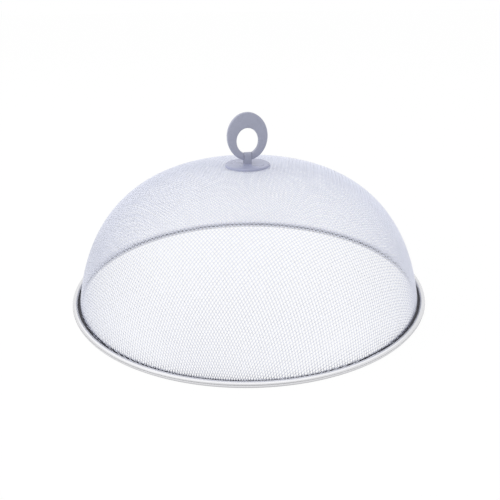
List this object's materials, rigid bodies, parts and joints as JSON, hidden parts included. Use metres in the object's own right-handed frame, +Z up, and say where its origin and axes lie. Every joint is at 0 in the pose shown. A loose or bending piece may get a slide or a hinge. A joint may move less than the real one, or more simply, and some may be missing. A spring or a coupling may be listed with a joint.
{
  "type": "mesh food cover",
  "caption": "Domed wire-mesh food cover with a rolled steel rim, and a flat oval pull ring on its crown that folds down to either side.",
  "frame": {"origin": "middle of the rim on the surface that the cover stands on", "axes": "+Z up through the crown, +X along the ring's hinge"},
  "size_m": [0.35, 0.35, 0.1756],
  "materials": {
    "wire_cloth": "drawn stainless wire in a plain weave",
    "rim_steel": "polished stainless strip",
    "core_wire": "plain drawn wire",
    "handle_plastic": "satin moulded grey plastic",
    "backing_plastic": "natural white moulded plastic",
    "screw_steel": "zinc plated"
  },
  "bodies": {
    "cover": {"wire_mesh": "wire_cloth", "rim_channel": "rim_steel", "rim_hoop": "core_wire", "handle_disc": "handle_plastic", "ring_post": "handle_plastic", "backing_washer": "backing_plastic", "fixing_screw": "screw_steel"},
    "ring": {"pull_ring": "handle_plastic"}
  },
  "joints": [
    {"name": "ring_fold", "type": "hinge", "parent": "cover", "child": "ring", "pos_m": [0, 0, 0.13425], "axis": [1, 0, 0], "range_deg": [-100, 100]}
  ]
}
